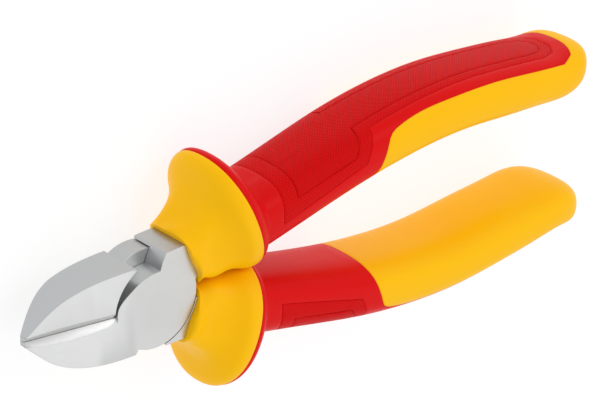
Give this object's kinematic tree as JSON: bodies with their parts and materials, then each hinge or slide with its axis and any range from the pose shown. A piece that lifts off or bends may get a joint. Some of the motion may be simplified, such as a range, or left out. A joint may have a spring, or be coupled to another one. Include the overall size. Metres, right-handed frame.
{
  "type": "diagonal cutting pliers",
  "caption": "Diagonal side-cutting pliers, satin steel lap joint, insulated two-colour grips with round hand guards and textured soft pads.",
  "frame": {"origin": "centre of the bounding box, closed; the hinge axis crosses the XY plane at x = -0.049 m, y = 0, at mid thickness", "axes": "+X from the jaws to the handle ends, +Z along the hinge axis towards the face with the bevelled cutting edges, +Y towards the handle of the front half"},
  "size_m": [0.16, 0.0546, 0.026],
  "materials": {
    "satin_steel": "satin, finely ground, clear of plating marks",
    "rivet_steel": "ground flush",
    "yellow_plastic": "moulded, semi-gloss",
    "red_plastic": "moulded, semi-gloss",
    "red_soft": "soft elastomer, stippled",
    "red_textured": "soft elastomer, fine mesh relief"
  },
  "bodies": {
    "front_half": {"front_jaw_half": "satin_steel", "pivot_rivet": "rivet_steel", "upper_grip_core": "yellow_plastic", "upper_grip_cover": "red_plastic", "upper_grip_band": "red_soft", "upper_grip_pad": "red_textured"},
    "back_half": {"back_jaw_half": "satin_steel", "lower_grip_core": "yellow_plastic", "lower_grip_cover": "red_plastic", "lower_grip_band": "red_soft", "lower_grip_pad": "red_textured"}
  },
  "joints": [
    {"name": "jaw_hinge", "type": "hinge", "parent": "front_half", "child": "back_half", "pos_m": [-0.049, 0, 0], "axis": [0, 0, -1], "range_deg": [0, 38]}
  ]
}
